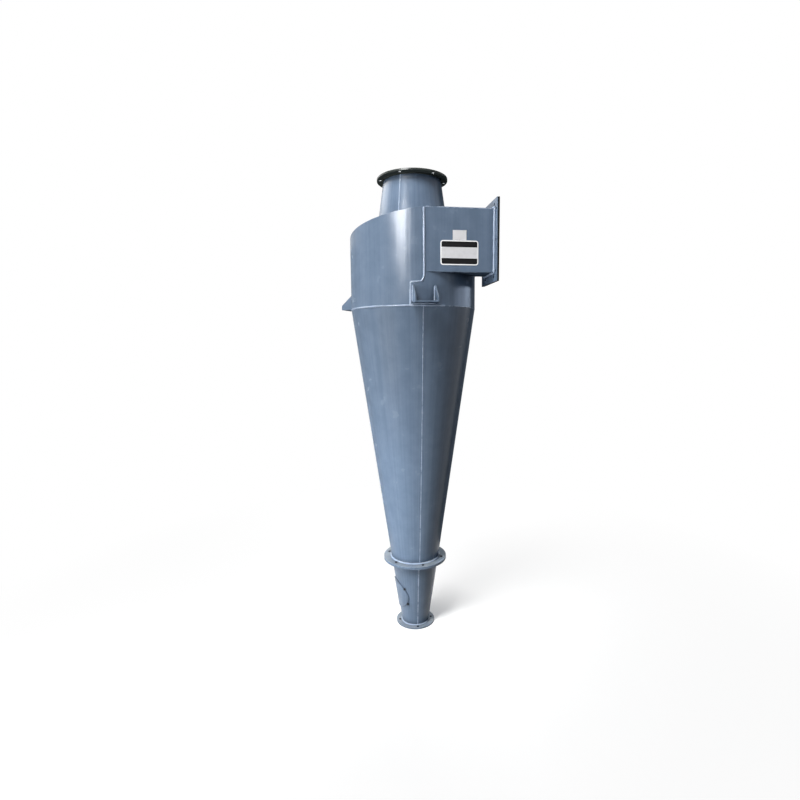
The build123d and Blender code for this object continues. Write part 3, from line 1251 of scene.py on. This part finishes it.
class CYCLONE_OT_welds(bpy.types.Operator):
    """Lays the weld beads of the barrel, inlet, outlet, cones and lugs."""

    bl_idname = "cyclone.welds"
    bl_label = "Lay the weld beads"

    def execute(self, context):
        welds = context.scene.cyclone_welds
        weld_piece("weld_barrel", self.barrel(welds))
        weld_piece("weld_inlet", self.inlet(welds))
        weld_piece("weld_outlet", self.outlet(welds))
        weld_piece("weld_cone", self.cone(welds))
        weld_piece("weld_discharge", self.discharge(welds))
        weld_piece("weld_lugs", self.lugs(welds))
        return {"FINISHED"}

    def barrel(self, welds):
        """The girth seam, the stepped seam at the front and the roof's edge."""
        under = BODY_R - welds.sink
        step_z = GIRTH_Z + STEP_RISE
        stepped = [
            Vector((STEP_SEAM_X, -under, DUCT_HIGH.z - 0.002)),
            Vector((STEP_SEAM_X, -under, DUCT_LOW.z - 0.016)),
        ]
        stepped += [at(under, azimuth, step_z + rise) for azimuth, rise in STEP_PATH]
        stepped.append(at(under, STEP_END_AZ, GIRTH_Z))
        inside = BODY_R - SHEET - 0.001
        rim = arc(inside, ROOF_LOW_AZ + 0.5, 360.0, lambda az: roof_z(az) - welds.sink)
        # The girth bead is ground down right of the front lug, and lies flush at the back so that
        # it stays inside the barrel's own box
        girth = []
        for i in range(round(360 / ARC_STEP)):
            azimuth = ARC_STEP * i
            ground = max(0.0, min(1.0, (azimuth - 12) / 9, (120 - azimuth) / 9))
            flush = max(0.0, 1 - abs(azimuth - 180) / 15)
            radius = under - GIRTH_GROUND * ground - GIRTH_FLUSH * flush
            girth.append(at(radius, azimuth, GIRTH_Z))
        return [
            (girth, True, welds.seam),
            (stepped, False, welds.seam * 1.25),
            (rim, False, welds.seam * 0.6),
        ]

    def inlet(self, welds):
        """The duct's corners, its flange, and its seams with the barrel, roof and outlet tube."""
        corner = welds.seam * 0.75
        low = DUCT_LOW.z
        high = DUCT_HIGH.z
        near = DUCT_LOW.y
        far = DUCT_BACK_Y
        end = DUCT_HIGH.x
        runs = []
        # The near lower corner is welded from below, behind the outer plate's edge
        behind = near + SHEET + 0.002
        corners = (
            (behind, low + welds.sink),
            (near + SHEET, high - welds.sink),
            (far - SHEET, low + welds.sink),
            (far - SHEET, high - welds.sink),
        )
        for y, z in corners:
            runs.append(([Vector((0.006, y, z)), Vector((end, y, z))], False, corner))
        off = 0.003
        front = near - off
        back = far + off
        sides = ((front, low - off), (front, high + off), (back, high + off), (back, low - off))
        mouth = [Vector((end - off, y, z)) for y, z in sides]
        runs.append((mouth, True, welds.fillet))
        across = [Vector((0.0, near + SHEET, high)), Vector((0.0, far, high))]
        runs.append(([p - Vector((0, 0, welds.sink)) for p in across], False, corner))
        cusp_x = 0.034
        cusp_y = (far - sqrt(OUTLET_R**2 - cusp_x**2)) / 2
        cusp = [Vector((cusp_x, cusp_y, z)) for z in (ROOF_LOW_Z - 0.002, high - 0.001)]
        runs.append((cusp, False, welds.fillet * 0.8))
        foot = [Vector((x, far, ROOF_LOW_Z)) for x in (ROOF_END_LOW.x, ROOF_END_HIGH.x)]
        runs.append((foot, False, welds.fillet * 0.8))
        return runs

    def outlet(self, welds):
        """The roof's seam with the outlet tube, the roof's low end, and the neck's two seams."""
        fillet = welds.fillet * 0.85
        flush = welds.seam * 0.7
        seam = [
            at(radius - welds.sink * 0.9, NECK_SEAM_AZ, z)
            for radius, z in ((OUTLET_R, DUCT_HIGH.z), (NECK_R, NECK_TOP_Z))
        ]
        low_end = [at(r, ROOF_LOW_AZ, ROOF_LOW_Z - welds.sink) for r in (OUTLET_R, BODY_R - SHEET)]
        return [
            (arc(OUTLET_R, ROOF_LOW_AZ, 359.0, roof_z), False, fillet),
            (arc(OUTLET_R, 23.0, ROOF_LOW_AZ, ROOF_LOW_Z), False, fillet),
            (low_end, False, welds.seam * 0.8),
            (ring(OUTLET_R - welds.sink * 1.2, DUCT_HIGH.z), True, flush),
            (seam, False, welds.seam * 0.72),
        ]

    def cone(self, welds):
        """The main cone's long seam and the fillet on its flange."""
        top_az, end_az = CONE_SEAM_AZ
        seam = []
        for i in range(9):
            share = i / 8
            radius = BODY_R + (CONE_END_R - BODY_R) * share - welds.sink
            z = GIRTH_Z + (CONE_END_Z - GIRTH_Z) * share
            seam.append(at(radius, top_az + (end_az - top_az) * share, z))
        return [
            (seam, False, welds.seam * 0.75),
            (ring(CONE_END_R + 0.003, JOINT_HIGH_Z + 0.003), True, welds.fillet * 0.85),
        ]

    def discharge(self, welds):
        """The discharge cone's seam and the fillet on its lower flange."""
        seam = [
            at(radius - welds.sink, DISCHARGE_SEAM_AZ, z)
            for radius, z in (
                (DISCHARGE_TOP_R, DISCHARGE_HIGH.z),
                (DISCHARGE_END_R, DISCHARGE_LOW.z),
            )
        ]
        return [
            (seam, False, welds.seam * 0.75),
            (ring(DISCHARGE_END_R + 0.002, DISCHARGE_LOW.z + 0.002), True, welds.fillet * 0.68),
        ]

    def lugs(self, welds):
        """Fillets of every lug's base and gussets."""
        fillet = welds.fillet * 0.75
        outside = LUG_W / 2
        inside = outside - GUSSET_T
        base_top = LUG_HIGH.z
        gusset_top = GUSSET_HIGH.z - 0.001
        nose_y = -LUG_OUT_R + 0.004
        local = []
        for x in (-outside, -inside, inside, outside):
            local.append([Vector((x, wall_y(x), z)) for z in (base_top, gusset_top)])
        for x in (-inside, inside):
            local.append([Vector((x, y, base_top)) for y in (wall_y(x), nose_y)])
        for reach, z in ((inside, base_top), (outside, LUG_LOW.z)):
            xs = [reach * (i / 4 - 1) for i in range(9)]
            local.append([Vector((x, wall_y(x), z)) for x in xs])
        runs = []
        for azimuth in LUG_AZIMUTHS:
            spin = Matrix.Rotation(radians(azimuth), 3, "Z")
            runs += [([spin @ point for point in run], False, fillet) for run in local]
        return runs


class CYCLONE_OT_bolts(bpy.types.Operator):
    """Sets the bolts of the joint between the two cones."""

    bl_idname = "cyclone.bolts"
    bl_label = "Set the joint bolts"

    def execute(self, context):
        flats = context.scene.cyclone_fasteners.bolt_flats
        template = bolt_mesh(flats, JOINT_HIGH_Z - JOINT_LOW_Z)
        azimuths = [JOINT_BOLT_AZ + i * 360 / JOINT_BOLTS for i in range(JOINT_BOLTS)]
        places = [(at(JOINT_BOLT_R, az, JOINT_HIGH_Z), (0, 0, 1)) for az in azimuths]
        fastener_piece("joint_bolts", template, places, "black_oxide_steel")
        return {"FINISHED"}


class CYCLONE_OT_hand_hole_screws(bpy.types.Operator):
    """Sets the screws whose washers clamp the hand-hole cover's rim."""

    bl_idname = "cyclone.hand_hole_screws"
    bl_label = "Set the hand-hole screws"

    def execute(self, context):
        sizes = context.scene.cyclone_fasteners
        middle_z = (COVER_LOW.z + COVER_HIGH.z) / 2
        slope = (DISCHARGE_TOP_R - DISCHARGE_END_R) / (DISCHARGE_HIGH.z - DISCHARGE_LOW.z)
        cover_face = outer_radius("hand_hole_cover", COVER_HIGH.z)
        lift = cover_face - (DISCHARGE_END_R + slope * (COVER_HIGH.z - DISCHARGE_LOW.z))
        places = []
        for degrees in HAND_SCREW_ANGLES:
            angle = radians(degrees)
            z = middle_z + sizes.screw_circle * sin(angle)
            radius = DISCHARGE_END_R + slope * (z - DISCHARGE_LOW.z) + lift
            across = sizes.screw_circle * cos(angle)
            azimuth = HAND_HOLE_AZ + atan2(across, sqrt(radius**2 - across**2)) * 180 / pi
            outward = at(1.0, azimuth, -slope)
            places.append((at(radius, azimuth, z), outward))
        template = screw_mesh(sizes.screw_flats, lift)
        fastener_piece("hand_hole_screws", template, places, "black_oxide_steel")
        return {"FINISHED"}


class CYCLONE_OT_plate(bpy.types.Operator):
    """Fixes the bare plate with its plain bands to the inlet's outer side."""

    bl_idname = "cyclone.plate"
    bl_label = "Fix the bare plate"

    def execute(self, context):
        plates = context.scene.cyclone_plates
        width, height = plates.size
        x, z = plates.centre
        front = plates.thickness
        band = plates.band
        shape = bmesh.new()
        face_plate(shape, (x, z), (width, height), (PLATE_BEND,) * 4, -0.0002, front)
        inner_w = width - 2 * PLATE_RIM
        inner_h = height - 2 * PLATE_RIM
        bend = PLATE_BEND - PLATE_RIM
        # Height of each field's middle, its own height, its corners and its material
        layers = (
            (inner_h / 2 - band / 2, band, (bend, bend, 0.0, 0.0), 2),
            (0.0, inner_h - 2 * band, (0.0,) * 4, 1),
            (band / 2 - inner_h / 2, band, (0.0, 0.0, bend, bend), 2),
        )
        ink = front + 0.00012
        for up, tall, radii, material in layers:
            face_plate(shape, (x, z + up), (inner_w, tall), radii, front - 0.0001, ink, material)
        mesh = mesh_from(shape, "bare_plate")
        for name in ("brushed_aluminium", "white_ink", "black_ink"):
            mesh.materials.append(finish(name))
        new_piece("bare_plate", mesh)
        return {"FINISHED"}


class CYCLONE_OT_label(bpy.types.Operator):
    """Sticks the blank label above the plate, with one corner lifting."""

    bl_idname = "cyclone.label"
    bl_label = "Stick the blank label"

    def execute(self, context):
        plates = context.scene.cyclone_plates
        width, height = plates.label_size
        x, z = plates.label_centre
        columns = 12
        rows = 8
        shape = bmesh.new()
        layers = []
        for depth in (-0.0001, 0.0003):
            layer = []
            for j in range(rows + 1):
                for i in range(columns + 1):
                    u = i / columns
                    v = j / rows
                    curl = max(0.0, (u + v - 1.6) / 0.4) ** 2 * LABEL_CURL
                    out = DUCT_LOW.y - depth - curl
                    place = (x + (u - 0.5) * width, out, z + (v - 0.5) * height)
                    layer.append(shape.verts.new(place))
            layers.append(layer)
        back, front = layers
        wide = columns + 1
        for j in range(rows):
            for i in range(columns):
                k = j * wide + i
                cell = (k, k + 1, k + wide + 1, k + wide)
                shape.faces.new([front[n] for n in cell])
                shape.faces.new([back[n] for n in reversed(cell)])
        top = rows * wide
        rim = list(range(columns))
        rim += [columns + j * wide for j in range(rows)]
        rim += [top + columns - i for i in range(columns)]
        rim += [top - j * wide for j in range(rows)]
        for here, there in zip(rim, rim[1:] + rim[:1]):
            shape.faces.new((back[here], back[there], front[there], front[here]))
        mesh = mesh_from(shape, "blank_label")
        mesh.materials.append(finish("label_vinyl"))
        new_piece("blank_label", mesh)
        return {"FINISHED"}


class CYCLONE_OT_stage(bpy.types.Operator):
    """Sets the floor, the edge cards, the surround, the lamps and the camera."""

    bl_idname = "cyclone.stage"
    bl_label = "Set the stage"

    def execute(self, context):
        scene = context.scene
        scene.view_settings.view_transform = "Standard"
        self.floor()
        for name, first_azimuth, top, tone in EDGE_CARDS:
            self.edge_card(name, first_azimuth, top, tone)
        self.surround(scene)
        self.lamps(scene.cyclone_stage)
        self.camera(scene)
        return {"FINISHED"}

    def floor(self):
        """A pale floor that the camera sees as near white, with the object's shadow."""
        shape = bmesh.new()
        rows = [[shape.verts.new(p) for p in ring(r, FLOOR_Z)] for r in (0.5, 3.0, 14.0)]
        shape.faces.new(list(rows[0]))
        for inner, outer in zip(rows, rows[1:]):
            for i in range(len(inner)):
                j = (i + 1) % len(inner)
                shape.faces.new((inner[i], outer[i], outer[j], inner[j]))
        mesh = mesh_from(shape, "floor")
        made, tree = new_material("pale_floor")
        path = add_node(tree, "ShaderNodeLightPath").outputs
        seen = self.seen(tree, path)
        place = add_node(tree, "ShaderNodeTexCoord").outputs["Object"]
        flat = {0: place, 1: (1, 1, 0)}
        level = add_node(tree, "ShaderNodeVectorMath", flat, operation="MULTIPLY").outputs[0]
        away = add_node(tree, "ShaderNodeVectorMath", {0: level}, operation="LENGTH").outputs["Value"]
        # The shadow shows near the object, and the floor meets the white surround without an edge
        near = add_node(
            tree,
            "ShaderNodeMapRange",
            {"Value": away, "From Min": 0.10, "From Max": 0.45, "To Min": 0.0, "To Max": 0.7},
        )
        far = add_node(
            tree,
            "ShaderNodeMapRange",
            {"Value": away, "From Min": 0.45, "From Max": 2.5, "To Min": 0.0, "To Max": 0.3},
        )
        parts = {0: near.outputs[0], 1: far.outputs[0]}
        whole = add_node(tree, "ShaderNodeMath", parts, operation="ADD").outputs[0]
        share = add_node(tree, "ShaderNodeMath", {0: seen, 1: whole}, operation="MULTIPLY")
        tone = add_node(
            tree,
            "ShaderNodeMix",
            {0: seen, 6: rgba(linear("#454543")), 7: rgba(linear("#FAFAFA"))},
            data_type="RGBA",
        )
        # A painted shadow: the patch that the dust flange covers is dark, so that its holes look deep
        beyond_painted_shadow = add_node(
            tree, "ShaderNodeMath", {0: away, 1: DUST_RIM_R}, operation="GREATER_THAN"
        )
        floor_tone_with_painted_shadow = add_node(
            tree,
            "ShaderNodeMix",
            {0: beyond_painted_shadow.outputs[0], 6: rgba(linear("#15171A")), 7: tone.outputs[2]},
            data_type="RGBA",
        )
        matt = add_node(tree, "ShaderNodeBsdfDiffuse", {"Color": floor_tone_with_painted_shadow.outputs[2]})
        white = add_node(tree, "ShaderNodeEmission", {"Strength": 1.0})
        mixed = add_node(
            tree,
            "ShaderNodeMixShader",
            {0: share.outputs[0], 1: matt.outputs[0], 2: white.outputs[0]},
        )
        add_node(tree, "ShaderNodeOutputMaterial", {"Surface": mixed.outputs[0]})
        mesh.materials.append(made)
        ground = link("floor", mesh)

    def edge_card(self, name, first_azimuth, top, tone):
        """A curved card behind the object, which only reflections show, to tone down its edge."""
        shape = bmesh.new()
        rows = []
        for step in range(14):
            azimuth = first_azimuth + 5 * step
            rows.append([shape.verts.new(at(EDGE_CARD_R, azimuth, z)) for z in (FLOOR_Z, top)])
        for (a, b), (d, c) in zip(rows, rows[1:]):
            shape.faces.new((a, b, c, d))
        mesh = mesh_from(shape, name)
        made, tree = new_material(name)
        light = {"Color": rgba(linear(tone)), "Strength": 1.0}
        glow = add_node(tree, "ShaderNodeEmission", light)
        add_node(tree, "ShaderNodeOutputMaterial", {"Surface": glow.outputs[0]})
        mesh.materials.append(made)
        card = link(name, mesh)
        card.visible_camera = False
        card.visible_diffuse = False
        card.visible_transmission = False
        card.visible_shadow = False

    def seen(self, tree, path):
        """1 for rays that show the surround: from the camera, a reflection or a transmission."""
        first = add_node(
            tree,
            "ShaderNodeMath",
            {0: path["Is Camera Ray"], 1: path["Is Glossy Ray"]},
            operation="MAXIMUM",
        )
        both = add_node(
            tree,
            "ShaderNodeMath",
            {0: first.outputs[0], 1: path["Is Transmission Ray"]},
            operation="MAXIMUM",
        )
        return both.outputs[0]

    def surround(self, scene):
        """White where it is seen, and an even light elsewhere."""
        world = bpy.data.worlds.new("studio")
        world.use_nodes = True
        tree = world.node_tree
        tree.nodes.clear()
        path = add_node(tree, "ShaderNodeLightPath").outputs
        level = add_node(
            tree,
            "ShaderNodeMapRange",
            {"Value": self.seen(tree, path), "To Min": scene.cyclone_stage.ambient, "To Max": 1.0},
        )
        white = {"Color": (1, 1, 1, 1), "Strength": level.outputs[0]}
        sky = add_node(tree, "ShaderNodeBackground", white)
        add_node(tree, "ShaderNodeOutputWorld", {"Surface": sky.outputs[0]})
        scene.world = world

    def lamps(self, levels):
        """The soft lamps, then the ones that work as cards."""
        for setting, name, size, place, aim in SOFT_LAMPS:
            soft = self.lamp(name, getattr(levels, setting), size, at(*place), aim)
            soft.visible_glossy = False
        for setting, name, size, place, aim in CARD_LAMPS:
            lean = WINDOW_LEAN if name == "window" else 0.0
            shown = self.lamp(name, getattr(levels, setting), size, at(*place), aim, lean)
            shown.visible_diffuse = False
        bpy.data.lights["foot_light"].spread = radians(FOOT_SPREAD)
        for name in ("right_fill", "right_card"):
            bpy.data.lights[name].color = COOL_LIGHT

    def lamp(self, name, power, size, place, aim, lean=0.0):
        """A rectangular light that the camera doesn't see, turned on its own axis by a lean."""
        light = bpy.data.lights.new(name, "AREA")
        light.energy = power
        light.shape = "RECTANGLE"
        light.size, light.size_y = size
        lamp = link(name, light)
        lamp.location = place
        aimed = (Vector((0, 0, aim)) - place).to_track_quat("-Z", "Y").to_matrix()
        lamp.rotation_euler = (aimed @ Matrix.Rotation(radians(lean), 3, "Z")).to_euler()
        lamp.visible_camera = False
        return lamp

    def camera(self, scene):
        """A camera at the photograph's place, which leans a little."""
        view = bpy.data.cameras.new("camera")
        view.sensor_width = SENSOR
        view.lens = LENS
        view.shift_x = SHIFT_X
        azimuth = radians(CAMERA_AZ)
        pitch = radians(CAMERA_PITCH)
        roll = radians(CAMERA_ROLL)
        inward = Vector((-sin(azimuth), cos(azimuth), 0.0))
        across = Vector((cos(azimuth), sin(azimuth), 0.0))
        upright = Vector((0.0, 0.0, 1.0))
        ahead = inward * cos(pitch) - upright * sin(pitch)
        above = inward * sin(pitch) + upright * cos(pitch)
        right = across * cos(roll) - above * sin(roll)
        top = across * sin(roll) + above * cos(roll)
        turned = Matrix((right, top, -ahead)).transposed().to_4x4()
        place = at(CAMERA_R, CAMERA_AZ, GIRTH_Z - CAMERA_DROP)
        camera = link("camera", view)
        camera.matrix_world = Matrix.Translation(place) @ turned
        scene.camera = camera


STEPS = (
    ("paint", CYCLONE_OT_paint),
    ("welds", CYCLONE_OT_welds),
    ("bolts", CYCLONE_OT_bolts),
    ("hand_hole_screws", CYCLONE_OT_hand_hole_screws),
    ("plate", CYCLONE_OT_plate),
    ("label", CYCLONE_OT_label),
    ("stage", CYCLONE_OT_stage),
)
GROUPS = (
    ("cyclone_welds", CYCLONE_PG_welds),
    ("cyclone_fasteners", CYCLONE_PG_fasteners),
    ("cyclone_plates", CYCLONE_PG_plates),
    ("cyclone_finishes", CYCLONE_PG_finishes),
    ("cyclone_stage", CYCLONE_PG_stage),
)


class CYCLONE_PT_panel(bpy.types.Panel):
    """Lists the settings and the steps of the dressing."""

    bl_idname = "CYCLONE_PT_panel"
    bl_label = "Cyclone separator"
    bl_space_type = "VIEW_3D"
    bl_region_type = "UI"
    bl_category = "Cyclone"

    def draw(self, context):
        for pointer, group in GROUPS:
            box = self.layout.box()
            for name in group.__annotations__:
                box.prop(getattr(context.scene, pointer), name)
        for name, operator in STEPS:
            self.layout.operator(operator.bl_idname)


def register():
    for pointer, group in GROUPS:
        bpy.utils.register_class(group)
        setattr(bpy.types.Scene, pointer, bpy.props.PointerProperty(type=group))
    for name, operator in STEPS:
        bpy.utils.register_class(operator)
    bpy.utils.register_class(CYCLONE_PT_panel)


def unregister():
    bpy.utils.unregister_class(CYCLONE_PT_panel)
    for name, operator in reversed(STEPS):
        bpy.utils.unregister_class(operator)
    for pointer, group in reversed(GROUPS):
        delattr(bpy.types.Scene, pointer)
        bpy.utils.unregister_class(group)


def main():
    register()
    for name, operator in STEPS:
        getattr(bpy.ops.cyclone, name)()


if __name__ == "__main__":
    main()
